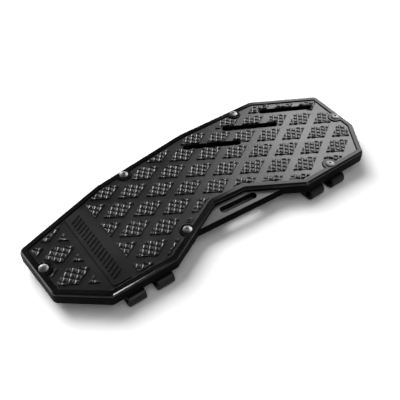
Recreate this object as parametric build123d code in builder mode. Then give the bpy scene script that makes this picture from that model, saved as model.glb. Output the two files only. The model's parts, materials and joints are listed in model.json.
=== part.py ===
"""Motorcycle rider floorboard: a hinged foot deck with a studded rubber tread.

Frame: millimetres, +Z up. The origin is the middle of the front hinge bore, and both hinge bores lie on
the X axis, with the rear one at positive X. +Y points away from the motorcycle.
"""

import os
from math import ceil, cos, hypot, radians, sin

from build123d import *

# Hinges
hinge_spacing = 235.0  # from bore to bore along X
lug_length = 18.5  # one lug along X
lug_gap = 13.5  # room for the tongue between two lugs
lug_radius = 8.0  # rounded nose
lug_flat = 8.0  # flat underside of a lug, behind the hinge axis
bore_radius = 4.1  # for an 8 mm pivot bolt
bridge_start = 12.0  # the plate that joins two lugs begins this far behind the hinge axis
bridge_end = 36.0
bridge_thickness = 5.0

# Heights
hinge_to_base = 7.3  # from the hinge axis up to the base's underside
floor_thickness = 7.8
wall_height = 3.4  # base wall above its floor
frame_thickness = 3.0
pad_drop = 1.3  # tread surface below the rim
stud_height = 1.7

# Rim outline
deck_width = 146.7
inner_edge = 0.7  # the inner edge stands this far in front of the hinge axis
front_reach = 83.6  # from the front hinge to the front outer corner
rear_reach = 86.0  # from the rear hinge to the rear outer corner
front_end_length = 63.6
rear_end_length = 66.1
front_corner_drop = 50.4  # outer corners, measured in from the outer edge
rear_corner_drop = 40.7
knee_from_hinge = 18.4  # bend in the outer edge, behind the front hinge
knee_drop = 17.6
outer_flat_length = 106.8
outer_flat_past_hinge = 10.8  # the outer edge turns in this far behind the rear hinge
front_flat_before = 38.8  # the inner edge's two flats, each side of their hinge
front_flat_after = 31.7
rear_flat_before = 30.2
rear_flat_after = 55.8
recess_depth = 36.2
recess_top_length = 40.5
recess_shift = 7.7  # behind the middle between the hinges
skew = 3.5  # degrees that both ends, the recess and its bar lean
corner_radius = 4.5
recess_radius = 4.0

# Section of the rim
bevel = 1.4  # bevel on the frame's outer edge
rim_width = 4.6  # flat top of the rim
ledge = 0.7  # the base stands out past the frame, with its own small bevel

# Bar across the recess
bar_reach = 19.9  # from the recess's back to the top of the bar's front face
bar_draft = 2.0  # that face leans out by this much
bar_land = 1.5  # upright foot of that face
bar_slot_span = 37.4  # between the centres of the slot's round ends
bar_slot_width = 8.6
bar_slot_setback = 9.3  # from the top of the bar's front face to the slot's middle
bar_slot_shift = 5.0  # behind the recess's middle

# Deck screws: each one's distance from the first corner of its edge, going round to the left
screw_inset = 6.2
lobe_radius = 8.0
front_end_screw = 34.0
recess_flank_screw = 35.7
rear_flat_screw = 40.6
rear_end_screw = 22.5
outer_flat_screw = 30.8
knee_edge_screw = 90.4
screw_radius = 2.5
screw_length = 8.5
head_radius = 4.75
head_height = 1.7
socket_radius = 1.8
socket_depth = 1.6

# Underside of the base
skirt_width = 8.0
pocket_depth = 3.4
rib_pitch = 47.0
rib_width = 4.0
seat_margin = 3.0  # solid floor round a bracket

# Tread
group_pitch_x = 51.15
group_pitch_y = 31.0
channel_width = 8.0
tread_margin = 2.6  # bare border along the pad's edge
tread_shift = 30.0  # one group's middle, behind the middle between the hinges
tread_drop = 45.5  # the same point, in from the outer edge
least_group = 14.0  # cut-off groups under this many square millimetres are left out
studs_per_pitch_x = 4  # studs in one pitch of the groups, so every whole group is cut alike
studs_per_pitch_y = 2
groove_depth = 1.4  # less than a stud's height, so a group's wall stays whole at its foot
groove_overrun = 0.1  # groups are made this much too tall, and the grooves take it off
slot_span = 59.8
slot_width = 6.8
slot_angle = -27.8
slot_pitch = 57.2
slot_count = 3
slot_drop = 35.7  # the row of slots, in from the outer edge
slot_row_shift = 18.3  # the middle slot, in front of the rear hinge
slot_border = 1.8
strip_width = 19.4
strip_before_hinge = 22.7  # middle of the bare panel, in front of the front hinge
strip_border = 7.9
strip_end_gap = 1.6
strip_height = 1.1
strip_radius = 3.0

# Clearances
pad_gap = 0.3
screw_clearance = 0.25
thread_clearance = 0.05
tip_clearance = 0.5

# Levels
base_bottom = hinge_to_base
floor_top = base_bottom + floor_thickness
wall_top = floor_top + wall_height
rim_top = wall_top + frame_thickness
pad_top = rim_top - pad_drop
stud_top = pad_top + stud_height
bridge_bottom = base_bottom - bridge_thickness

# Corners of the rim's top edge, in order round the deck
deck_length = front_reach + hinge_spacing + rear_reach
outer_y = deck_width - inner_edge
hinge_middle = hinge_spacing / 2
lean_x = sin(radians(skew))
lean_y = cos(radians(skew))
recess_x = hinge_middle + recess_shift
recess_y = recess_depth - inner_edge
recess_half = recess_top_length / 2
outer_flat_end = hinge_spacing + outer_flat_past_hinge

front_outer = (-front_reach, outer_y - front_corner_drop)
front_inner = (front_outer[0] + front_end_length * lean_x, front_outer[1] - front_end_length * lean_y)
front_flat_start = (-front_flat_before, -inner_edge)
front_flat_end = (front_flat_after, -inner_edge)
recess_front = (recess_x - recess_half * lean_y, recess_y + recess_half * lean_x)
recess_rear = (recess_x + recess_half * lean_y, recess_y - recess_half * lean_x)
rear_flat_start = (hinge_spacing - rear_flat_before, -inner_edge)
rear_flat_end = (hinge_spacing + rear_flat_after, -inner_edge)
rear_outer = (hinge_spacing + rear_reach, outer_y - rear_corner_drop)
rear_inner = (rear_outer[0] - rear_end_length * lean_x, rear_outer[1] - rear_end_length * lean_y)
outer_rear = (outer_flat_end, outer_y)
outer_front = (outer_flat_end - outer_flat_length, outer_y)
outer_knee = (knee_from_hinge, outer_y - knee_drop)


def beside_edge(start, end, distance):
    """Point a distance along an edge of the rim from its start, and the screws' inset inside it."""
    length = hypot(end[0] - start[0], end[1] - start[1])
    ux = (end[0] - start[0]) / length
    uy = (end[1] - start[1]) / length
    return (start[0] + distance * ux - screw_inset * uy, start[1] + distance * uy + screw_inset * ux)


def from_recess(along, out):
    """Point measured from the middle of the recess's back edge, along it and out towards the hinge side."""
    return (recess_x + along * lean_y - out * lean_x, recess_y - along * lean_x - out * lean_y)


screw_points = [
    beside_edge(front_outer, front_inner, front_end_screw),
    beside_edge(front_flat_end, recess_front, recess_flank_screw),
    beside_edge(rear_flat_start, rear_flat_end, rear_flat_screw),
    beside_edge(rear_inner, rear_outer, rear_end_screw),
    beside_edge(outer_rear, outer_front, outer_flat_screw),
    beside_edge(outer_front, outer_knee, knee_edge_screw),
]

# Outlines, seen from above
with BuildSketch() as rim_edge:
    with BuildLine():
        FilletPolyline(
            front_inner,
            front_flat_start,
            front_flat_end,
            recess_front,
            recess_rear,
            rear_flat_start,
            rear_flat_end,
            rear_inner,
            rear_outer,
            outer_rear,
            outer_front,
            outer_knee,
            front_outer,
            radius=[corner_radius] * 3 + [recess_radius] * 2 + [corner_radius] * 8,
            close=True,
        )
    make_face()

with BuildSketch() as frame_outline:
    add(rim_edge.sketch)
    offset(amount=bevel)

with BuildSketch() as base_outline:
    add(rim_edge.sketch)
    offset(amount=bevel + ledge)


def deck_opening(inset, notch):
    """Outline a distance inside the rim's edge, with a round notch at each screw."""
    with BuildSketch() as opening:
        add(rim_edge.sketch)
        offset(amount=-inset)
        with Locations(*screw_points):
            Circle(notch, mode=Mode.SUBTRACT)
    return opening.sketch


pad_inset = rim_width + pad_gap
notch_radius = lobe_radius + pad_gap
tray_opening = deck_opening(rim_width, lobe_radius)
pad_outline = deck_opening(pad_inset, notch_radius)
tread_outline = deck_opening(pad_inset + tread_margin, notch_radius + tread_margin)
strip_outline = deck_opening(pad_inset + strip_end_gap, notch_radius + strip_end_gap)

with BuildSketch() as bar_web:
    with BuildLine():
        Polyline(front_flat_end, recess_front, recess_rear, rear_flat_start, close=True)
    make_face()
    with Locations(Location(from_recess(0, bar_reach + bar_draft), -skew)):
        Rectangle(deck_length, deck_width, align=(Align.CENTER, Align.MAX), mode=Mode.SUBTRACT)

# Base: a tray with a floor, a low wall and a bar across the recess
hinge_points = [(0, 0), (hinge_spacing, 0)]
bracket_width = 2 * lug_length + lug_gap

with BuildPart() as base_plate:
    with BuildSketch(Plane.XY.offset(base_bottom)):
        add(base_outline.sketch)
        add(bar_web.sketch)
    extrude(amount=floor_thickness)
    with BuildSketch(Plane.XY.offset(floor_top)):
        add(base_outline.sketch)
        add(tray_opening, mode=Mode.SUBTRACT)
    extrude(amount=wall_height)
    chamfer(base_plate.faces().sort_by(Axis.Z)[-1].outer_wire().edges(), length=ledge)
    bar_middle = Vector(*from_recess(0, bar_reach + bar_draft), floor_top)
    bar_edge = base_plate.edges().sort_by_distance(bar_middle)[0]
    bar_top = base_plate.faces().filter_by(Axis.Z).sort_by_distance(bar_middle)[0]
    chamfer(bar_edge, length=bar_draft, length2=floor_thickness - bar_land, reference=bar_top)
    with BuildSketch(Plane.XY.offset(floor_top)):
        with Locations(Location(from_recess(bar_slot_shift, bar_reach - bar_slot_setback), -skew)):
            SlotCenterToCenter(bar_slot_span, bar_slot_width)
    extrude(amount=-floor_thickness, mode=Mode.SUBTRACT)
    with BuildSketch(Plane.XY.offset(base_bottom)):
        add(rim_edge.sketch)
        offset(amount=-skirt_width)
        with Locations((hinge_middle, outer_y / 2)):
            with GridLocations(rib_pitch, deck_width, 2 * ceil(deck_length / 2 / rib_pitch) + 1, 1):
                Rectangle(rib_width, deck_width, mode=Mode.SUBTRACT)
        with Locations(*hinge_points):
            seat_width = bracket_width + 2 * seat_margin
            Rectangle(seat_width, 2 * (bridge_end + seat_margin), mode=Mode.SUBTRACT)
    extrude(amount=pocket_depth, mode=Mode.SUBTRACT)
    with BuildSketch(Plane.XY.offset(wall_top)):
        with Locations(*screw_points):
            Circle(screw_radius + thread_clearance)
    extrude(amount=frame_thickness - screw_length - tip_clearance, mode=Mode.SUBTRACT)
base_plate.part.label = "base_plate"

# Trim frame: lies on the base's wall all round, with a lobe at each screw
with BuildPart() as trim_frame:
    with BuildSketch(Plane.XY.offset(wall_top)):
        add(frame_outline.sketch)
        add(tray_opening, mode=Mode.SUBTRACT)
        with Locations(*screw_points):
            Circle(screw_radius + screw_clearance, mode=Mode.SUBTRACT)
    extrude(amount=frame_thickness)
    frame_top = trim_frame.faces().sort_by(Axis.Z)[-1]
    chamfer(frame_top.outer_wire().edges(), length=bevel)
trim_frame.part.label = "trim_frame"

# Tread pad: rhombic groups of pointed studs, three slanted slots and a bare raised panel
group_half_x = group_pitch_x / 2
group_half_y = group_pitch_y / 2
group_side_distance = group_half_x * group_half_y / hypot(group_half_x, group_half_y)
group_share = 1 - channel_width / 2 / group_side_distance
group_x = hinge_middle + tread_shift
group_y = outer_y - tread_drop
stud_pitch_x = group_pitch_x / studs_per_pitch_x
stud_pitch_y = group_pitch_y / studs_per_pitch_y
groove_pitch = stud_pitch_x * stud_pitch_y / hypot(stud_pitch_x, stud_pitch_y)
groove_count = 2 * ceil((deck_length + deck_width) / 2 / groove_pitch)
group_columns = 2 * ceil(deck_length / 2 / group_pitch_x) + 3
group_rows = 2 * ceil(deck_width / group_pitch_y) + 1
strip_x = -strip_before_hinge
slot_row = (hinge_spacing - slot_row_shift, outer_y - slot_drop)

with BuildSketch() as tread_area:
    add(tread_outline)
    with Locations((strip_x, outer_y / 2)):
        Rectangle(strip_width + 2 * strip_border, 2 * deck_width, mode=Mode.SUBTRACT)
    with Locations(slot_row):
        with GridLocations(slot_pitch, slot_pitch, slot_count, 1):
            SlotCenterToCenter(
                slot_span,
                slot_width + 2 * slot_border,
                rotation=slot_angle,
                mode=Mode.SUBTRACT,
            )

with BuildSketch() as tread_groups:
    with Locations((group_x, group_y), (group_x + group_half_x, group_y + group_half_y)):
        with GridLocations(group_pitch_x, group_pitch_y, group_columns, group_rows):
            Polygon(
                (group_share * group_half_x, 0),
                (0, group_share * group_half_y),
                (-group_share * group_half_x, 0),
                (0, -group_share * group_half_y),
                align=None,
            )
    add(tread_area.sketch, mode=Mode.INTERSECT)

with BuildPart() as tread_pad:
    with BuildSketch(Plane.XY.offset(floor_top)):
        add(pad_outline)
    extrude(amount=pad_top - floor_top)
    with BuildSketch(Plane.XY.offset(pad_top)):
        add(tread_groups.sketch.faces().filter_by(lambda face: face.area > least_group))
    extrude(amount=stud_height + groove_overrun)
    for side in (1, -1):
        across = Plane(
            origin=(group_x, group_y, stud_top),
            x_dir=(-side * stud_pitch_y, stud_pitch_x, 0),
            z_dir=(stud_pitch_x, side * stud_pitch_y, 0),
        )
        with BuildSketch(across):
            with GridLocations(groove_pitch, groove_pitch, groove_count, 1):
                Polygon(
                    (0, -groove_depth),
                    (groove_pitch, groove_depth),
                    (-groove_pitch, groove_depth),
                    align=None,
                )
        extrude(amount=deck_length, both=True, mode=Mode.SUBTRACT)
    with BuildSketch(Plane.XY.offset(pad_top)):
        add(strip_outline)
        with Locations((strip_x, outer_y / 2)):
            Rectangle(strip_width, 2 * deck_width, mode=Mode.INTERSECT)
        fillet(vertices(), radius=strip_radius)
    extrude(amount=strip_height)
    with BuildSketch(Plane.XY.offset(floor_top)):
        with Locations(slot_row):
            with GridLocations(slot_pitch, slot_pitch, slot_count, 1):
                SlotCenterToCenter(slot_span, slot_width, rotation=slot_angle)
    extrude(amount=stud_top - floor_top, mode=Mode.SUBTRACT)
tread_pad.part.label = "tread_pad"


# Hinge brackets: two lugs each side of the tongue's gap, joined behind it and welded under the base
def hinge_bracket(hinge_x):
    """Clevis bracket with its bore on the X axis, centred at hinge_x."""
    with BuildPart() as bracket:
        with BuildSketch(Plane.XY.offset(bridge_bottom)):
            with Locations((hinge_x, bridge_start)):
                Rectangle(bracket_width, bridge_end - bridge_start, align=(Align.CENTER, Align.MIN))
        extrude(amount=bridge_thickness)
        for lug_x in (hinge_x - bracket_width / 2, hinge_x + lug_gap / 2):
            with BuildSketch(Plane.YZ.offset(lug_x)):
                Circle(lug_radius)
                Polygon(
                    (0, -lug_radius),
                    (lug_flat, -lug_radius),
                    (bridge_end, bridge_bottom),
                    (bridge_end, base_bottom),
                    (0, base_bottom),
                    align=None,
                )
                with Locations((0, base_bottom)):
                    below_base = (Align.CENTER, Align.MAX)
                    Rectangle(2 * bridge_end, 2 * bridge_end, align=below_base, mode=Mode.INTERSECT)
                Circle(bore_radius, mode=Mode.SUBTRACT)
            extrude(amount=lug_length)
    return bracket.part


front_hinge_bracket = hinge_bracket(hinge_points[0][0])
front_hinge_bracket.label = "front_hinge_bracket"
rear_hinge_bracket = hinge_bracket(hinge_points[1][0])
rear_hinge_bracket.label = "rear_hinge_bracket"

# Deck screws: low round heads with a hexagon socket, on the lobes of the frame
with BuildPart() as deck_screw:
    with BuildSketch(Plane.XZ):
        with BuildLine():
            Polyline(
                (0, head_height),
                (0, -screw_length),
                (screw_radius, -screw_length),
                (screw_radius, 0),
                (head_radius, 0),
                (head_radius, head_height),
                close=True,
            )
        make_face()
    revolve(axis=Axis.Z)
    with BuildSketch(Plane.XY.offset(head_height)):
        RegularPolygon(socket_radius, side_count=6)
    extrude(amount=-socket_depth, mode=Mode.SUBTRACT)

with BuildPart() as deck_screws:
    with Locations(*[(x, y, rim_top) for x, y in screw_points]):
        add(deck_screw.part)
deck_screws.part.label = "deck_screws"

os.makedirs("parts", exist_ok=True)
for piece in (
    base_plate.part,
    trim_frame.part,
    tread_pad.part,
    front_hinge_bracket,
    rear_hinge_bracket,
    deck_screws.part,
):
    export_step(piece, f"parts/{piece.label}.step")
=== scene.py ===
# %% [markdown]
# A rider's floorboard for a motorcycle: a long angled deck that hangs on two hinges. The solids
# come in as a fixed frame. This lesson dresses them: it rounds the sharp edges, moulds the small
# studs on the tread, sets domed screws in the rim, and gives each piece its own finish. Everything
# is in metres, in the frame of the solids: X along the hinge axis, Y outwards, Z up.

import json
import math

import bmesh
import bpy
from mathutils import Matrix, Vector

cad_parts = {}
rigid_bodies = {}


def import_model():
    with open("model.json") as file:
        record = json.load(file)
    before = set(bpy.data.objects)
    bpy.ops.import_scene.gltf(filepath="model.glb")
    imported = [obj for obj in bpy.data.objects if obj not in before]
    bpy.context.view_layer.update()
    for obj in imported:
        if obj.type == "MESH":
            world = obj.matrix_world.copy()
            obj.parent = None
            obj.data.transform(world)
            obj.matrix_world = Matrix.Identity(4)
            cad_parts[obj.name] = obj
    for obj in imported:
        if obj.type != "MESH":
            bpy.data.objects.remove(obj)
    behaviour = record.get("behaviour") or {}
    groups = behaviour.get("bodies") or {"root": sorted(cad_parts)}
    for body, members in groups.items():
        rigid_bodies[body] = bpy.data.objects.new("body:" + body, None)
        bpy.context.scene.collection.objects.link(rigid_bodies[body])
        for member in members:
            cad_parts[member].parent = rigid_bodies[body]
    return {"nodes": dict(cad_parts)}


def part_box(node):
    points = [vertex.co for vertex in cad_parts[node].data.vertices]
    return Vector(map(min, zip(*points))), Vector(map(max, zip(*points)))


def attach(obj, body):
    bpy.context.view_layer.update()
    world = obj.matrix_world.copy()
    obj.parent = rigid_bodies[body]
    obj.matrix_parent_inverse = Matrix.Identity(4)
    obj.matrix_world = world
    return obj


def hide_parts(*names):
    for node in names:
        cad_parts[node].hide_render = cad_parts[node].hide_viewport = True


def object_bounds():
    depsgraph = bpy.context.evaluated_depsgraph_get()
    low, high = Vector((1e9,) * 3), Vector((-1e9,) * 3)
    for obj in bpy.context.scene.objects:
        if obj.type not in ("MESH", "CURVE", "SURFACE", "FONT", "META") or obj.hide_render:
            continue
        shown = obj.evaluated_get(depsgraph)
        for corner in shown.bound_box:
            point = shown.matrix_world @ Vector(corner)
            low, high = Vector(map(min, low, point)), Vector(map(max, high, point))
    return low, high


for leftover in list(bpy.data.objects):
    bpy.data.objects.remove(leftover)

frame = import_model()
solids_low, solids_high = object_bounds()
mm = 0.001
print("frame:", sorted(frame["nodes"]))
print("size in mm:", [round(side / mm, 1) for side in solids_high - solids_low])

# %% [markdown]
# Scene settings. The Standard view transform shows a colour about as it is written, so the blacks
# of the rim and the rubber can be judged against the numbers in their materials.

# %% Scene settings
scene = bpy.context.scene
scene.view_settings.view_transform = "Standard"
print("view transform:", scene.view_settings.view_transform)

# %% [markdown]
# One effect is shared by all the finishes: a fine grain, as every coat, moulding or turned head
# has. A picture of grain would stretch and repeat, so it is made from noise in the object's own
# coordinates. It is a node group, so that each material can place it with its own scale. It gives
# a soft tone, which changes colour and gloss from place to place, and a height, which a Bump node
# turns into relief.

# %% Shared grain
patch_detail = 4.0
grain_detail = 2.0


def grain_group():
    """Node group with a slow tone and a fine height, both from noise."""
    group = bpy.data.node_groups.new("surface_grain", "ShaderNodeTree")
    for label, kind in (("Vector", "Vector"), ("Patch Scale", "Float"), ("Grain Scale", "Float")):
        group.interface.new_socket(label, in_out="INPUT", socket_type="NodeSocket" + kind)
    for label in ("Tone", "Height"):
        group.interface.new_socket(label, in_out="OUTPUT", socket_type="NodeSocketFloat")
    nodes, link = group.nodes, group.links.new
    start = nodes.new("NodeGroupInput").outputs
    end = nodes.new("NodeGroupOutput").inputs
    layers = (("Patch Scale", patch_detail, "Tone"), ("Grain Scale", grain_detail, "Height"))
    for scale, detail, result in layers:
        noise = nodes.new("ShaderNodeTexNoise")
        noise.inputs["Detail"].default_value = detail
        link(start["Vector"], noise.inputs["Vector"])
        link(start[scale], noise.inputs["Scale"])
        link(noise.outputs["Fac"], end[result])
    return group


surface_grain = grain_group()
print("shared effect:", surface_grain.name)

# %% [markdown]
# One function makes every finish, because they differ only in colour, gloss and grain. The grain's
# tone leads from the darker colour to the lighter one, and from the first roughness to the second.

# %% How a finish is made
tone_low, tone_high = 0.35, 0.65
relief_height = 0.1 * mm


def finish(name, dark, light, rough, patch_scale, grain_scale, relief, **fixed):
    """Material whose colour and roughness drift with the grain's tone, with the grain as relief."""
    material = bpy.data.materials.new(name)
    material.use_nodes = True
    nodes, link = material.node_tree.nodes, material.node_tree.links.new
    shader = nodes["Principled BSDF"]
    where = nodes.new("ShaderNodeTexCoord")
    grain = nodes.new("ShaderNodeGroup")
    grain.node_tree = surface_grain
    grain.inputs["Patch Scale"].default_value = patch_scale
    grain.inputs["Grain Scale"].default_value = grain_scale
    link(where.outputs["Object"], grain.inputs["Vector"])
    colour = nodes.new("ShaderNodeValToRGB")
    colour.color_ramp.elements[0].position = tone_low
    colour.color_ramp.elements[0].color = (*dark, 1.0)
    colour.color_ramp.elements[1].position = tone_high
    colour.color_ramp.elements[1].color = (*light, 1.0)
    link(grain.outputs["Tone"], colour.inputs["Fac"])
    link(colour.outputs["Color"], shader.inputs["Base Color"])
    gloss = nodes.new("ShaderNodeMapRange")
    gloss.inputs["From Min"].default_value = tone_low
    gloss.inputs["From Max"].default_value = tone_high
    gloss.inputs["To Min"].default_value = rough[0]
    gloss.inputs["To Max"].default_value = rough[1]
    link(grain.outputs["Tone"], gloss.inputs["Value"])
    link(gloss.outputs["Result"], shader.inputs["Roughness"])
    bump = nodes.new("ShaderNodeBump")
    bump.inputs["Strength"].default_value = relief
    bump.inputs["Distance"].default_value = relief_height
    link(grain.outputs["Height"], bump.inputs["Height"])
    link(bump.outputs["Normal"], shader.inputs["Normal"])
    for socket, value in fixed.items():
        shader.inputs[socket.replace("_", " ")].default_value = value
    return material


print("a finish drifts while the tone goes from", tone_low, "to", tone_high)

# %% [markdown]
# The finishes. The rim is a gloss black. The base is a casting with a satin black coat in two
# copies: a lighter one on its level faces, which is painted light, and a near-black one with almost
# no gloss on the rest, which is painted shade. The lugs are a touch browner. The tread is black
# rubber with the grey sheen that moulded rubber has. Its walls and slots take a near-black copy,
# which is painted shade, and the ribs take that copy as their own dark colour. The screws are plain
# steel.

# %% Finishes
gloss_black = finish(
    "gloss_black_rim",
    dark=(0.004, 0.004, 0.005),
    light=(0.008, 0.008, 0.009),
    rough=(0.10, 0.16),
    patch_scale=30,
    grain_scale=500,
    relief=0.06,
    Specular_IOR_Level=0.15,
)
# Painted light: a lighter copy of the base's black coat, for its level faces.
lit_top_black = finish(
    "painted_light_top_black",
    dark=(0.05, 0.05, 0.05),
    light=(0.08, 0.08, 0.08),
    rough=(0.34, 0.42),
    patch_scale=25,
    grain_scale=1500,
    relief=0.25,
)
# Painted shade: a near-black copy of the same coat, with almost no gloss, for the other faces.
shaded_side_black = finish(
    "painted_shade_side_black",
    dark=(0.001, 0.001, 0.001),
    light=(0.003, 0.003, 0.003),
    rough=(0.50, 0.60),
    patch_scale=25,
    grain_scale=1500,
    relief=0.25,
    Specular_IOR_Level=0.02,
)
lug_black = finish(
    "satin_black_lug",
    dark=(0.004, 0.0036, 0.0032),
    light=(0.008, 0.0073, 0.0066),
    rough=(0.36, 0.48),
    patch_scale=40,
    grain_scale=1200,
    relief=0.25,
    Specular_IOR_Level=0.12,
)
rubber = finish(
    "moulded_rubber",
    dark=(0.006, 0.006, 0.006),
    light=(0.011, 0.011, 0.011),
    rough=(0.28, 0.34),
    patch_scale=18,
    grain_scale=1800,
    relief=0.3,
)
# Painted shade: a near-black copy of the rubber for the tread's walls and slots; the ribs take it
# as their own dark colour.
shade_and_rib_rubber = finish(
    "shade_and_rib_rubber",
    dark=(0.001, 0.001, 0.001),
    light=(0.003, 0.003, 0.003),
    rough=(0.50, 0.60),
    patch_scale=18,
    grain_scale=1800,
    relief=0.3,
    Specular_IOR_Level=0.05,
)
steel = finish(
    "screw_steel",
    dark=(0.20, 0.20, 0.20),
    light=(0.30, 0.30, 0.29),
    rough=(0.34, 0.46),
    patch_scale=300,
    grain_scale=2500,
    relief=0.2,
    Metallic=1.0,
)
finishes = (gloss_black, lit_top_black, shaded_side_black, lug_black, rubber, shade_and_rib_rubber, steel)
print("finishes:", [material.name for material in finishes])

# %% [markdown]
# Cast and machined edges are never knife sharp, and it is their small roundings that catch the
# light. They could be modelled in the solid, but that would make it heavy, so a Bevel modifier
# rounds a welded copy. The copy's flat triangles are joined into whole faces first, so that only
# true edges are rounded. Weighted normals keep the large faces flat, and the modifiers are settled
# into a plain mesh.

# %% Helpers that copy and round a solid
weld_distance = 0.002 * mm
flat_angle = math.radians(0.5)
edge_angle = math.radians(25)


def welded_copy(node):
    """Joined-up copy of a solid's loose triangles."""
    shape = bmesh.new()
    shape.from_mesh(frame["nodes"][node].data)
    bmesh.ops.remove_doubles(shape, verts=shape.verts, dist=weld_distance)
    return shape


def join_flats(shape):
    """Joins flat neighbours into whole faces."""
    bmesh.ops.dissolve_limit(shape, angle_limit=flat_angle, verts=shape.verts, edges=shape.edges)


def mesh_of(name, shape):
    """A mesh made from a shape, which is then freed."""
    mesh = bpy.data.meshes.new(name)
    shape.to_mesh(mesh)
    shape.free()
    return mesh


def shown(name, data):
    """A new object at the origin, in the scene."""
    piece = bpy.data.objects.new(name, data)
    scene.collection.objects.link(piece)
    return piece


def flattened(piece):
    """Adds a modifier that keeps large faces flat in the shading, so only the roundings bend it."""
    flat = piece.modifiers.new("flat_faces", "WEIGHTED_NORMAL")
    flat.mode = "FACE_AREA"
    flat.weight = 100
    flat.keep_sharp = True
    return piece


def settled(piece):
    """Turns the piece's modifiers into a plain mesh, and takes them off."""
    graph = bpy.context.evaluated_depsgraph_get()
    mesh = bpy.data.meshes.new_from_object(piece.evaluated_get(graph), depsgraph=graph)
    piece.modifiers.clear()
    piece.data = mesh
    mesh.name = piece.name
    return piece


def rounded(name, shape, radius, steps, material, share=lambda edge: 1.0):
    """Piece with each true edge rounded by its share of the radius; with no share it is sharp."""
    join_flats(shape)
    weight = shape.edges.layers.float.new("bevel_weight_edge")
    for edge in shape.edges:
        true_edge = len(edge.link_faces) == 2 and edge.calc_face_angle() > edge_angle
        edge[weight] = share(edge) if true_edge else 0.0
        edge.smooth = not true_edge or edge[weight] > 0.0
    for face in shape.faces:
        face.material_index = 0
    mesh = mesh_of(name, shape)
    mesh.materials.append(material)
    mesh.shade_smooth()
    piece = shown(name, mesh)
    bevel = piece.modifiers.new("rounding", "BEVEL")
    bevel.width = radius
    bevel.segments = steps
    bevel.limit_method = "WEIGHT"
    bevel.use_clamp_overlap = False
    return settled(flattened(piece))


print("edges of more than", round(math.degrees(edge_angle)), "degrees are rounded")

# %% [markdown]
# The rim is the plainest case. Each finished piece is handed over in the same way: it rides with
# the solids, and it takes the place of one of them.

# %% Rim
metal_round = 0.45 * mm


def handed_over(piece, node):
    """The piece rides with the solids and stands for one node, whose solid is hidden."""
    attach(piece, "root")
    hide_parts(node)
    print(piece.name, "stands for", node, "with", len(piece.data.polygons), "faces")


rim = rounded("rim", welded_copy("trim_frame"), metal_round, steps=3, material=gloss_black)
handed_over(rim, "trim_frame")

# %% [markdown]
# The base has two copies of its coat. Its level faces take the lighter one, which is painted light,
# and all other faces take the near-black one, which is painted shade. The floor of the tray under
# the tread is level too, but it takes the near-black copy as painted shade, so that it looks black
# through the slots. It is known by its height and by its place across the deck, well behind the
# bar.

# %% Base
level_limit = 0.8
tray_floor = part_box("tread_pad")[0].z
tray_room = 0.1 * mm
bar_back = 60.0 * mm
base = rounded("base", welded_copy("base_plate"), metal_round, steps=2, material=lit_top_black)
base.data.materials.append(shaded_side_black)
# Painted light on the level faces, painted shade on the sides and on the tray floor.
for face in base.data.polygons:
    shaded_tray_floor = face.center.z < tray_floor + tray_room and face.center.y > bar_back
    face.material_index = 0 if face.normal.z > level_limit and not shaded_tray_floor else 1
handed_over(base, "base_plate")

# %% [markdown]
# The two pairs of lugs are alike, so one loop makes both. Their edges are rounder than the base's.

# %% Lugs
lug_round = 0.8 * mm
for side in ("front", "rear"):
    bracket = f"{side}_hinge_bracket"
    shape = welded_copy(bracket)
    lugs = rounded(f"{side}_lugs", shape, lug_round, steps=3, material=lug_black)
    handed_over(lugs, bracket)

# %% [markdown]
# The tread is one moulding: a slab with blocks of small studs on it, a panel across it and three
# slots through it. The slots are found first, while the copy is whole. The pad's upright walls
# hang together in rings, and the short rings are the slots. Their corners are noted by place, so
# that they can be known again when the mesh has changed.

# %% Slots of the tread
block_height = 1.7 * mm
slot_reach = 80.0 * mm
upright_limit = 0.1
tread_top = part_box("tread_pad")[1].z
slab_top = tread_top - block_height


def islands(faces):
    """Sets of faces that hang together, in the order of their first faces."""
    left, found = set(faces), []
    for first in faces:
        if first not in left:
            continue
        left.remove(first)
        island, front = set(), [first]
        while front:
            face = front.pop()
            island.add(face)
            near = {f for e in face.edges for f in e.link_faces} & left
            left -= near
            front.extend(near)
        found.append(island)
    return found


def pad_wall(face):
    """Whether a face is an upright wall below the slab's top."""
    return abs(face.normal.z) < upright_limit and face.calc_center_median().z < slab_top


def span(places, axis):
    """How far some places reach along an axis."""
    along = [place[axis] for place in places]
    return max(along) - min(along)


def spot(corner):
    """A corner's place to a thousandth of a millimetre."""
    return tuple(round(c / mm, 3) for c in corner.co)


slab_shape = welded_copy("tread_pad")
wall_rings = islands([f for f in slab_shape.faces if pad_wall(f)])
ring_corners = [[v for f in ring for v in f.verts] for ring in wall_rings]
slots = [ring for ring in ring_corners if span([v.co for v in ring], 0) < slot_reach]
slot_corners = {spot(v) for slot in slots for v in slot}
print("slots:", len(slots))

# %% [markdown]
# The solid has the blocks with a few large studs each. The real ones are finer, so the large studs
# are cut off here, at the slab. The cut leaves one hole for each block, and filling the holes gives
# the blocks' outlines, which the fine studs need later. Each outline is raised again by a low
# plinth, because the grooves between the studs don't reach the slab.

# %% Outlines of the blocks
plinth_height = 0.8 * mm
cut_room = 0.1 * mm
panel_from, panel_to = -34.0 * mm, -11.0 * mm
plinth_top = slab_top + plinth_height


def on_panel(corner):
    """Whether a corner belongs to the bare panel that crosses the tread."""
    return panel_from < corner.co.x < panel_to


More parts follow.
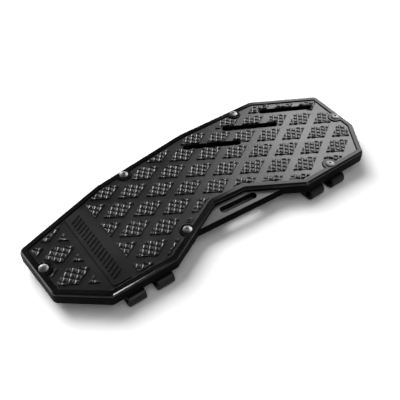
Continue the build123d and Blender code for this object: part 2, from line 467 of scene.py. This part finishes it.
studs_cut = [v for v in slab_shape.verts if v.co.z > slab_top + cut_room and not on_panel(v)]
bmesh.ops.delete(slab_shape, geom=studs_cut, context="VERTS")
open_edges = [e for e in slab_shape.edges if e.is_boundary]
caps = bmesh.ops.holes_fill(slab_shape, edges=open_edges)["faces"]
block_outlines = [[corner.co.copy() for corner in cap.verts] for cap in caps]
for plinth in bmesh.ops.extrude_discrete_faces(slab_shape, faces=caps)["faces"]:
    for corner in plinth.verts:
        corner.co.z = plinth_top
bmesh.ops.recalc_face_normals(slab_shape, faces=slab_shape.faces)
print("blocks of studs:", len(block_outlines), "slab top at", round(slab_top / mm, 2), "mm")

# %% [markdown]
# The slab is rounded edge by edge. The slots have a broad round lip, the panel and the low plinths
# stay sharp, and the other edges lie between. Upright walls, and all that lies below the slab's
# top, take the near-black copy of the rubber as painted shade, so the slots look black and the
# blocks stand out.

# %% Rounded slab
slot_lip = 0.9 * mm
slab_round = 0.45 * mm
lip_start = 0.02 * mm
wall_limit = 0.5


def on_plinth(edge):
    """Whether an edge belongs to a plinth, which is too low to be rounded."""
    low, high = slab_top + cut_room, plinth_top + cut_room
    return any(low < v.co.z < high and not on_panel(v) for v in edge.verts)


def kept_sharp(edge):
    """Whether an edge is the panel's, a plinth's or the foot of one."""
    foot = all(abs(v.co.z - slab_top) < cut_room for v in edge.verts)
    raised = [f for f in edge.link_faces if f.calc_center_median().z > slab_top]
    walls = [f for f in raised if f.normal.z < wall_limit]
    panel = all(on_panel(v) and v.co.z > slab_top for v in edge.verts)
    return bool(foot and walls) or on_plinth(edge) or panel


def edge_share(edge):
    """An edge's share of the rounding: all of it at a slot's lip, less elsewhere."""
    if kept_sharp(edge):
        return 0.0
    return 1.0 if all(spot(v) in slot_corners for v in edge.verts) else slab_round / slot_lip


slab = rounded("tread_slab", slab_shape, slot_lip, steps=2, material=rubber, share=edge_share)
slab.data.materials.append(shade_and_rib_rubber)
# Painted shade: upright walls and faces below the slab's top take the near-black rubber.
for face in slab.data.polygons:
    upright = abs(face.normal.z) < upright_limit
    face.material_index = 1 if upright or face.center.z < slab_top - lip_start else 0
print("slab:", len(slab.data.polygons), "faces")

# %% [markdown]
# What repeats on the board is made by node trees: studs, ribs and screws. A few small helpers let
# each tree read as a list of what it does: new_tree makes a tree with named inputs, put adds one
# node and fills its sockets, closed ends the tree, and grown runs it. A modifier knows its inputs
# by their identifiers, so grown looks these up by name.

# %% Helpers for node trees
def new_tree(name, sizes, vectors=()):
    """Geometry Nodes tree with a mesh, named sizes, vectors and a material as its input sockets."""
    tree = bpy.data.node_groups.new(name, "GeometryNodeTree")
    wanted = [("Geometry", "Geometry")] + [(size, "Float") for size in sizes]
    wanted += [(vector, "Vector") for vector in vectors] + [("Material", "Material")]
    for label, kind in wanted:
        tree.interface.new_socket(label, in_out="INPUT", socket_type="NodeSocket" + kind)
    tree.interface.new_socket("Geometry", in_out="OUTPUT", socket_type="NodeSocketGeometry")
    return tree, tree.nodes.new("NodeGroupInput").outputs


def put(tree, kind, sockets, output=0, **settings):
    """One node, with its settings made and its sockets linked or set; gives one of its outputs."""
    node = tree.nodes.new(kind)
    for name, value in settings.items():
        setattr(node, name, value)
    for socket, value in sockets.items():
        for part in value if isinstance(value, list) else [value]:
            if isinstance(part, bpy.types.NodeSocket):
                tree.links.new(part, node.inputs[socket])
            else:
                node.inputs[socket].default_value = part
    return node.outputs[output]


def math_node(tree, operation, *values):
    """One sum, product or other step of arithmetic."""
    return put(tree, "ShaderNodeMath", dict(enumerate(values)), operation=operation)


def xyz(tree, x=0.0, y=0.0, z=0.0):
    """Three values joined into a vector."""
    return put(tree, "ShaderNodeCombineXYZ", {"X": x, "Y": y, "Z": z})


def moved(tree, shape, **sockets):
    """A shape moved, turned or scaled."""
    sockets = {name.title(): value for name, value in sockets.items()}
    return put(tree, "GeometryNodeTransform", {"Geometry": shape, **sockets})


def repeated(tree, points, shape, **sockets):
    """Real copies of a shape on every point."""
    sockets = {name.title(): value for name, value in sockets.items()}
    wanted = {"Points": points, "Instance": shape, **sockets}
    copies = put(tree, "GeometryNodeInstanceOnPoints", wanted)
    return put(tree, "GeometryNodeRealizeInstances", {"Geometry": copies})


def closed(tree, shape, material):
    """Ends a tree with its shape in one material."""
    painted = put(tree, "GeometryNodeSetMaterial", {"Geometry": shape, "Material": material})
    tree.links.new(painted, tree.nodes.new("NodeGroupOutput").inputs["Geometry"])
    return tree


def grown(name, mesh, tree, values):
    """Object whose mesh is made by a tree from a starting mesh, settled into a plain mesh."""
    piece = shown(name, mesh)
    modifier = piece.modifiers.new(tree.name, "NODES")
    modifier.node_group = tree
    for item in tree.interface.items_tree:
        if item.in_out == "INPUT" and item.name in values:
            modifier[item.identifier] = values[item.name]
    return settled(piece)


print("helpers for node trees are ready")

# %% [markdown]
# The studs. They stand in diamonds, and every block of the tread is cut from the same pattern.
# Modelled one by one they would be hundreds of pieces, but they follow a rule, so a tree lays them
# out: a lattice of tapered studs is trimmed to one whole block, the block is repeated over the
# deck, and all of it is trimmed to the outlines found above, which end at the rim, the slots and
# the panel. The tree starts from those outlines as closed prisms, a little wider than the blocks
# so that no two cuts fall on the same plane.

# %% Prisms that trim the studs
prism_scale = 1.03


def trimming_prisms(outlines, low, high):
    """Mesh of one closed prism for each outline."""
    shape = bmesh.new()
    for outline in outlines:
        middle = sum(outline, Vector()) / len(outline)
        rings = []
        for height in (low, high):
            ring = []
            for corner in outline:
                place = middle + (corner - middle) * prism_scale
                ring.append(shape.verts.new((place.x, place.y, height)))
            rings.append(ring)
            shape.faces.new(ring)
        for i in range(len(outline)):
            shape.faces.new((rings[0][i - 1], rings[0][i], rings[1][i], rings[1][i - 1]))
    bmesh.ops.recalc_face_normals(shape, faces=shape.faces)
    return mesh_of("trimming_prisms", shape)


prisms = trimming_prisms(block_outlines, slab_top - block_height, tread_top + block_height)
four_sided = [outline for outline in block_outlines if len(outline) == 4]
whole_block = max(four_sided, key=lambda outline: span(outline, 0))
block_reach = span(whole_block, 0) / 2
block_rise = span(whole_block, 1) / 2
block_middle = sum(whole_block, Vector()) / len(whole_block)
print("a whole block reaches", round(block_reach / mm, 2), "by", round(block_rise / mm, 2), "mm")

# %% [markdown]
# The tree itself. Each stud is a cone with four sides, stretched to a diamond. The block that
# trims the studs is three of them deep and starts one lower, so that only its sides cut.

# %% Tree of studs
stud_columns, stud_rows = 7, 5
block_columns, block_rows = 17, 11


def stud_tree():
    """Tree that lays studs on every block of the tread and trims them to the prisms it is given."""
    sizes = ["Pitch X", "Pitch Y", "Foot Share", "Top Share", "Depth", "Reach", "Rise"]
    tree, given = new_tree("stud_field", sizes + ["Block Pitch X", "Block Pitch Y"], ["Foot"])

    def lattice(pitch_x, pitch_y, columns, rows):
        """Points on a grid and in the middle of its cells."""
        grids = []
        for extra in (0, 1):
            grid = {
                "Vertices X": columns + extra,
                "Vertices Y": rows + extra,
                "Size X": math_node(tree, "MULTIPLY", pitch_x, columns - 1 + extra),
                "Size Y": math_node(tree, "MULTIPLY", pitch_y, rows - 1 + extra),
            }
            grids.append(put(tree, "GeometryNodeMeshGrid", grid))
        return put(tree, "GeometryNodeJoinGeometry", {"Geometry": grids})

    def diamond(foot, top, depth, half_x, half_y):
        """A cone with four sides, stretched."""
        cone = {"Vertices": 4, "Radius Bottom": foot, "Radius Top": top, "Depth": depth}
        stretch = xyz(tree, half_x, half_y, 1.0)
        return moved(tree, put(tree, "GeometryNodeMeshCone", cone), scale=stretch)

    def trimmed(shape, block):
        """What two shapes share."""
        both = {"Mesh 2": [shape, block]}
        return put(tree, "GeometryNodeMeshBoolean", both, operation="INTERSECT", solver="MANIFOLD")

    half_x = math_node(tree, "MULTIPLY", given["Pitch X"], 0.5)
    half_y = math_node(tree, "MULTIPLY", given["Pitch Y"], 0.5)
    stud = diamond(given["Foot Share"], given["Top Share"], given["Depth"], half_x, half_y)
    block_depth = math_node(tree, "MULTIPLY", given["Depth"], 3.0)
    block = diamond(1.0, 1.0, block_depth, given["Reach"], given["Rise"])
    one_lower = math_node(tree, "MULTIPLY", given["Depth"], -1.0)
    lowered = moved(tree, block, translation=xyz(tree, z=one_lower))
    spots = lattice(given["Pitch X"], given["Pitch Y"], stud_columns, stud_rows)
    studs = repeated(tree, spots, stud)
    places = lattice(given["Block Pitch X"], given["Block Pitch Y"], block_columns, block_rows)
    field = moved(tree, repeated(tree, places, trimmed(studs, lowered)), translation=given["Foot"])
    return closed(tree, trimmed(field, given["Geometry"]), given["Material"])


stud_field = stud_tree()
print("tree of studs:", len(stud_field.nodes), "nodes")

# %% [markdown]
# The sizes of the studs. Their flanks rise at about thirty degrees, so that the mould lets go, and
# that slope is what lets the flank on the left mirror the bright back of the studio, so that every
# stud shows one light stroke.

# %% Studs on the blocks
block_pitch_x = 51.15 * mm
block_pitch_y = 31.0 * mm
stud_pitch_x = 7.8 * mm
stud_pitch_y = 9.1 * mm
stud_foot_share = 0.98
stud_top_share = 0.45
stud_sink = 0.05 * mm
studs = grown(
    "tread_studs",
    prisms,
    stud_field,
    {
        "Pitch X": stud_pitch_x,
        "Pitch Y": stud_pitch_y,
        "Foot Share": stud_foot_share,
        "Top Share": stud_top_share,
        "Depth": tread_top - plinth_top + stud_sink,
        "Reach": block_reach,
        "Rise": block_rise,
        "Block Pitch X": block_pitch_x,
        "Block Pitch Y": block_pitch_y,
        "Foot": Vector((block_middle.x, block_middle.y, plinth_top - stud_sink)),
        "Material": rubber,
    },
)
print("studs:", len(studs.data.polygons), "faces before rounding")

# %% [markdown]
# Trimming leaves crumbs: slivers at the tips of the blocks, which a mould would never hold. They
# are found by walking over each loose island of faces and dropping those with next to no top. What
# is left is rounded, as moulded rubber is, and the roundings are what make the tread glint.

# %% Crumbs off, edges rounded
crumb_area = 1.2 * mm * mm
top_limit = 0.9
stud_round = 0.3 * mm


def reopened(piece):
    """A piece's mesh, to be shaped further. The piece itself goes."""
    shape = bmesh.new()
    shape.from_mesh(piece.data)
    bpy.data.objects.remove(piece)
    return shape


def top_area(island):
    """Area of the faces of an island that look up."""
    return sum(f.calc_area() for f in island if f.normal.z > top_limit)


stud_shape = reopened(studs)
bmesh.ops.remove_doubles(stud_shape, verts=stud_shape.verts, dist=weld_distance)
join_flats(stud_shape)
stud_islands = islands(stud_shape.faces)
crumbs = [island for island in stud_islands if top_area(island) < crumb_area]
bmesh.ops.delete(stud_shape, geom=[f for crumb in crumbs for f in crumb], context="FACES")
studs = rounded("tread_studs", stud_shape, stud_round, steps=1, material=rubber)
print("studs:", len(stud_islands) - len(crumbs), "after", len(crumbs), "crumbs were dropped")

# %% [markdown]
# The panel across the tread is smooth on its own, so it carries a plain row of slanted grip ribs in
# the near-black rubber, as their own dark colour. Another small tree repeats one bar along a line,
# and a Bevel modifier rounds the bars.

# %% Ribs on the panel
panel_height = 1.1 * mm
panel_top = slab_top + panel_height
rib_size = Vector((13.0, 1.7, 0.9)) * mm
rib_pitch = 5.2 * mm
rib_count = 17
rib_slant = math.radians(28)
rib_first = Vector((-22.7, 16.0, panel_top / mm)) * mm
rib_round = 0.3 * mm


def rib_tree():
    """Tree that repeats a slanted bar along Y, from the one point it is given."""
    tree, given = new_tree("rib_row", ["Pitch", "Slant"], ["Size"])
    step = xyz(tree, y=given["Pitch"])
    line = put(tree, "GeometryNodeMeshLine", {"Count": rib_count, "Offset": step})
    bar = put(tree, "GeometryNodeMeshCube", {"Size": given["Size"]})
    row = repeated(tree, line, moved(tree, bar, rotation=xyz(tree, z=given["Slant"])))
    return closed(tree, repeated(tree, given["Geometry"], row), given["Material"])


rib_start = bpy.data.meshes.new("rib_start")
rib_start.from_pydata([rib_first], [], [])
ribs = grown(
    "panel_ribs",
    rib_start,
    rib_tree(),
    {"Pitch": rib_pitch, "Slant": rib_slant, "Size": rib_size, "Material": shade_and_rib_rubber},
)
ribs = rounded("panel_ribs", reopened(ribs), rib_round, steps=2, material=shade_and_rib_rubber)
print("ribs:", rib_count)

# %% [markdown]
# Slab, studs and ribs are one moulding on the real board, so they are joined into one piece, which
# stands for the tread's solid. Each part numbers its own finishes from nought, so the numbers are
# changed to the joined piece's as the faces go in.

# %% One moulded tread
tread_finishes = [rubber, shade_and_rib_rubber]
joined = bmesh.new()
for part in (slab, studs, ribs):
    numbers = [tread_finishes.index(material) for material in part.data.materials]
    faces_before = len(joined.faces)
    joined.from_mesh(part.data)
    joined.faces.ensure_lookup_table()
    for face in joined.faces[faces_before:]:
        face.material_index = numbers[face.material_index]
    bpy.data.objects.remove(part)
tread_mesh = mesh_of("tread", joined)
for material in tread_finishes:
    tread_mesh.materials.append(material)
tread = settled(flattened(shown("tread", tread_mesh)))
handed_over(tread, "tread_pad")

# %% [markdown]
# The screws have low domed heads with a hexagon socket. The solids have plain round heads, and each
# island of their faces is one screw. Its place and its size are measured here, because the domed
# screw has to stand in the same place and fit in the same box. The places are sorted, so that the
# random turns below fall on the same screws in every run.

# %% Where the screws are
rim_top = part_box("trim_frame")[1].z
screw_shape = welded_copy("deck_screws")
screw_points = []
for island in islands(screw_shape.faces):
    corners = [v.co for f in island for v in f.verts]
    low = Vector([min(c[i] for c in corners) for i in range(3)])
    high = Vector([max(c[i] for c in corners) for i in range(3)])
    screw_points.append(((low.x + high.x) / 2, (low.y + high.y) / 2, rim_top))
screw_shape.free()
screw_points.sort()
head_radius = (high.x - low.x) / 2
head_height = high.z - rim_top
screw_length = rim_top - low.z
print("screws:", len(screw_points), "with heads of", round(2 * head_radius / mm, 1), "mm")

# %% [markdown]
# The tree of screws takes one point for each screw and turns it into a head with a socket and a
# shank. It lifts the middle of a cylinder's lid by a parabola and cuts the socket out of it. The
# cut doubles a corner where the socket meets a line of the lid, so such corners are merged. Screws
# are never tightened to the same turn, so each copy gets a random turn from a fixed seed.

# %% Tree of screws
head_sides, head_rings = 28, 5
socket_sides = 6
shank_sides = 20
turn_seed = 4


def screw_tree():
    """Tree that sets a domed screw with a hexagon socket on every point it is given."""
    sizes = ["Radius", "Edge", "Dome", "Socket Radius", "Socket Depth"]
    tree, given = new_tree("button_screws", sizes + ["Shank Radius", "Shank Length"])

    def round_bar(sides, rings, radius, depth, middle):
        """An upright cylinder, whose lids are divided into rings."""
        sockets = {"Vertices": sides, "Fill Segments": rings, "Radius": radius, "Depth": depth}
        bar = put(tree, "GeometryNodeMeshCylinder", sockets)
        return moved(tree, bar, translation=xyz(tree, z=middle))

    half_edge = math_node(tree, "MULTIPLY", given["Edge"], 0.5)
    head = round_bar(head_sides, head_rings, given["Radius"], given["Edge"], half_edge)
    place = put(tree, "GeometryNodeInputPosition", {})
    height = put(tree, "ShaderNodeSeparateXYZ", {0: place}, output="Z")
    flattening = {0: place, 1: (1.0, 1.0, 0.0)}
    flat_place = put(tree, "ShaderNodeVectorMath", flattening, operation="MULTIPLY")
    off_axis = put(
        tree, "ShaderNodeVectorMath", {0: flat_place}, output="Value", operation="LENGTH"
    )
    share = math_node(tree, "DIVIDE", off_axis, given["Radius"])
    fall = math_node(tree, "SUBTRACT", 1.0, math_node(tree, "POWER", share, 2.0))
    lift = xyz(tree, z=math_node(tree, "MULTIPLY", given["Dome"], fall))
    on_lid = math_node(tree, "GREATER_THAN", height, half_edge)
    lifted = {"Geometry": head, "Selection": on_lid, "Offset": lift}
    dome = put(tree, "GeometryNodeSetPosition", lifted)
    top = math_node(tree, "ADD", given["Edge"], given["Dome"])
    socket_length = math_node(tree, "MULTIPLY", given["Socket Depth"], 2.0)
    socket = round_bar(socket_sides, 1, given["Socket Radius"], socket_length, top)
    cut = put(
        tree,
        "GeometryNodeMeshBoolean",
        {"Mesh 1": dome, "Mesh 2": [socket]},
        operation="DIFFERENCE",
        solver="MANIFOLD",
    )
    welding = {"Geometry": cut, "Distance": weld_distance}
    clean_head = put(tree, "GeometryNodeMergeByDistance", welding)
    shank_middle = math_node(tree, "MULTIPLY", given["Shank Length"], -0.5)
    shank = round_bar(shank_sides, 1, given["Shank Radius"], given["Shank Length"], shank_middle)
    screw = put(tree, "GeometryNodeJoinGeometry", {"Geometry": [clean_head, shank]})
    turn_range = {"Max": (0.0, 0.0, math.tau), "Seed": turn_seed}
    turn = put(tree, "FunctionNodeRandomValue", turn_range, data_type="FLOAT_VECTOR")
    return closed(tree, repeated(tree, given["Geometry"], screw, rotation=turn), given["Material"])


button_screws = screw_tree()
print("tree of screws:", len(button_screws.nodes), "nodes")

# %% [markdown]
# The sizes of the screws. Head and length come from the solids, and the rest is about as on a
# real screw of that size. The dome is shaded smooth, and the socket's edges stay sharp.

# %% Screws in the rim
head_edge = 0.9 * mm
socket_radius = 1.8 * mm
socket_depth = 1.3 * mm
shank_radius = 2.4 * mm
crease_angle = math.radians(32)
screw_start = bpy.data.meshes.new("screw_start")
screw_start.from_pydata(screw_points, [], [])
screws = grown(
    "screws",
    screw_start,
    button_screws,
    {
        "Radius": head_radius,
        "Edge": head_edge,
        "Dome": head_height - head_edge,
        "Socket Radius": socket_radius,
        "Socket Depth": socket_depth,
        "Shank Radius": shank_radius,
        "Shank Length": screw_length,
        "Material": steel,
    },
)
screws.data.shade_smooth()
screws.data.set_sharp_from_angle(angle=crease_angle)
handed_over(screws, "deck_screws")

# %% [markdown]
# The camera stands where the photographer stood: in front of the hinge side, off the end with the
# panel, and looking down on the whole deck. Its place, turn and lens were fitted to the deck's
# corners.

# %% Camera
camera_data = bpy.data.cameras.new("camera")
camera_data.lens = 49.07
camera_data.sensor_width = 36.0
camera_data.clip_start = 0.01
camera_place = Vector((-139.4, -269.2, 435.5)) * mm
camera_azimuth = math.radians(-36.59)
camera_elevation = math.radians(46.47)
camera_roll = math.radians(0.19)
look = (
    Matrix.Rotation(camera_azimuth, 4, "Z")
    @ Matrix.Rotation(math.pi / 2 - camera_elevation, 4, "X")
    @ Matrix.Rotation(camera_roll, 4, "Z")
)
camera = shown("camera", camera_data)
camera.matrix_world = Matrix.Translation(camera_place) @ look
scene.camera = camera
print("camera at", [round(c, 3) for c in camera_place])

# %% [markdown]
# A white floor under the lugs takes the soft shadow. White paint on its own would only be as bright
# as the lamps make it, so Light Path tells the rays apart: the camera and mirrors see a lighter
# floor than the bounced light does, and far from the board they see plain white. From below, the
# floor is clear.

# %% Floor
floor_half = 6.0
floor_bounce = 0.8
floor_seen = 1.2
fade_from, fade_to = 0.55, 1.1


def seen_rays(tree):
    """One for rays from the camera, a mirror or glass, and nought for light that bounces."""
    ray = tree.nodes.new("ShaderNodeLightPath").outputs
    mirrored = math_node(tree, "MAXIMUM", ray["Is Glossy Ray"], ray["Is Transmission Ray"])
    return math_node(tree, "MAXIMUM", ray["Is Camera Ray"], mirrored)


def eased(tree, value, low, high, at_low, at_high):
    """A value that goes smoothly from one end of a range to the other."""
    ends = {"From Min": low, "From Max": high, "To Min": at_low, "To Max": at_high}
    return put(
        tree, "ShaderNodeMapRange", {"Value": value, **ends}, interpolation_type="SMOOTHSTEP"
    )


floor_mesh = bpy.data.meshes.new("floor")
floor_z = solids_low.z
floor_mesh.from_pydata(
    [(x * floor_half, y * floor_half, floor_z) for x, y in ((-1, -1), (1, -1), (1, 1), (-1, 1))],
    [],
    [(0, 1, 2, 3)],
)
floor = shown("floor", floor_mesh)
floor_paint = bpy.data.materials.new("floor_white")
floor_paint.use_nodes = True
paint = floor_paint.node_tree
paint.nodes.remove(paint.nodes["Principled BSDF"])
seen = seen_rays(paint)
tone = eased(paint, seen, 0.0, 1.0, floor_bounce, floor_seen)
matt = put(paint, "ShaderNodeBsdfDiffuse", {"Color": tone})
white = put(paint, "ShaderNodeEmission", {"Strength": 1.0})
place = put(paint, "ShaderNodeTexCoord", {}, output="Object")
distance = put(paint, "ShaderNodeVectorMath", {0: place}, output="Value", operation="LENGTH")
far_off = eased(paint, distance, fade_from, fade_to, 0.0, 1.0)
share = math_node(paint, "MULTIPLY", seen, far_off)
faded = put(paint, "ShaderNodeMixShader", {0: share, 1: matt, 2: white})
below = put(paint, "ShaderNodeNewGeometry", {}, output="Backfacing")
clear = put(paint, "ShaderNodeBsdfTransparent", {})
whole = put(paint, "ShaderNodeMixShader", {0: below, 1: faded, 2: clear})
paint.links.new(whole, paint.nodes["Material Output"].inputs["Surface"])
floor_mesh.materials.append(floor_paint)
print("floor at", round(floor_z / mm, 2), "mm")

# %% [markdown]
# Black things show their shape by what they mirror, and the floor shows it by its shadow. One lamp
# can't do both, so the work is shared, as in a studio. A soft key from behind and a weak fill in
# front give the matt light and the shadow. White cards give the gloss: one at the right for the
# sheen that fades along the tread, a long one at the back for the light stroke on every stud, and
# small ones for the lines along the rim.

# %% Lights
deck_middle = Vector((0.12, 0.07, 0.02))


def soft_box(name, direction, distance, width, height, radiance, is_card):
    """Area lamp that faces the deck: a card for gloss alone, or a lamp for the matt light alone."""
    data = bpy.data.lights.new(name, "AREA")
    data.shape = "RECTANGLE"
    data.size = width
    data.size_y = height
    data.energy = radiance * math.pi * width * height
    box = shown(name, data)
    towards = Vector(direction).normalized()
    box.location = deck_middle + towards * distance
    box.rotation_mode = "QUATERNION"
    box.rotation_quaternion = towards.to_track_quat("Z", "Y")
    box.visible_diffuse = not is_card
    box.visible_glossy = is_card
    print(name, "gives", round(data.energy, 1), "W")


def lamp(name, direction, **sizes):
    """A soft box for the matt light."""
    soft_box(name, direction, is_card=False, **sizes)


def card(name, direction, **sizes):
    """A soft box for the gloss."""
    soft_box(name, direction, is_card=True, **sizes)


lamp("key", (-0.15, 0.54, 0.82), distance=2.5, width=1.8, height=1.8, radiance=6.6)
lamp("fill", (-0.1, -0.5, 0.86), distance=2.5, width=2.6, height=2.6, radiance=0.85)
card("right_card", (0.67, 0.36, 0.62), distance=3.0, width=1.5, height=1.2, radiance=7.4)
card("back_card", (-0.12, 0.97, 0.20), distance=3.0, width=3.0, height=1.0, radiance=10.0)
card("left_card", (-0.80, 0.60, 0.15), distance=3.0, width=1.5, height=0.8, radiance=6.0)
card("front_card", (0.12, -0.84, 0.53), distance=2.4, width=0.30, height=0.35, radiance=60.0)

# %% [markdown]
# The world fills in. What the camera and mirrors see of it is white at the horizon and dim
# overhead, and the light that it throws on matt faces is dim all round.

# %% World
sky_strength = 0.05
horizon_strength = 1.0
horizon_from, horizon_to = 0.12, 0.5
world = bpy.data.worlds.new("studio")
scene.world = world
world.use_nodes = True
sky = world.node_tree
way = put(sky, "ShaderNodeTexCoord", {}, output="Generated")
upwards = put(sky, "ShaderNodeSeparateXYZ", {0: way}, output="Z")
horizon = eased(sky, upwards, horizon_from, horizon_to, horizon_strength, sky_strength)
strength = eased(sky, seen_rays(sky), 0.0, 1.0, sky_strength, horizon)
sky.nodes["Background"].inputs["Color"].default_value = (1.0, 1.0, 1.0, 1.0)
sky.links.new(strength, sky.nodes["Background"].inputs["Strength"])
print("world lights with", sky_strength)
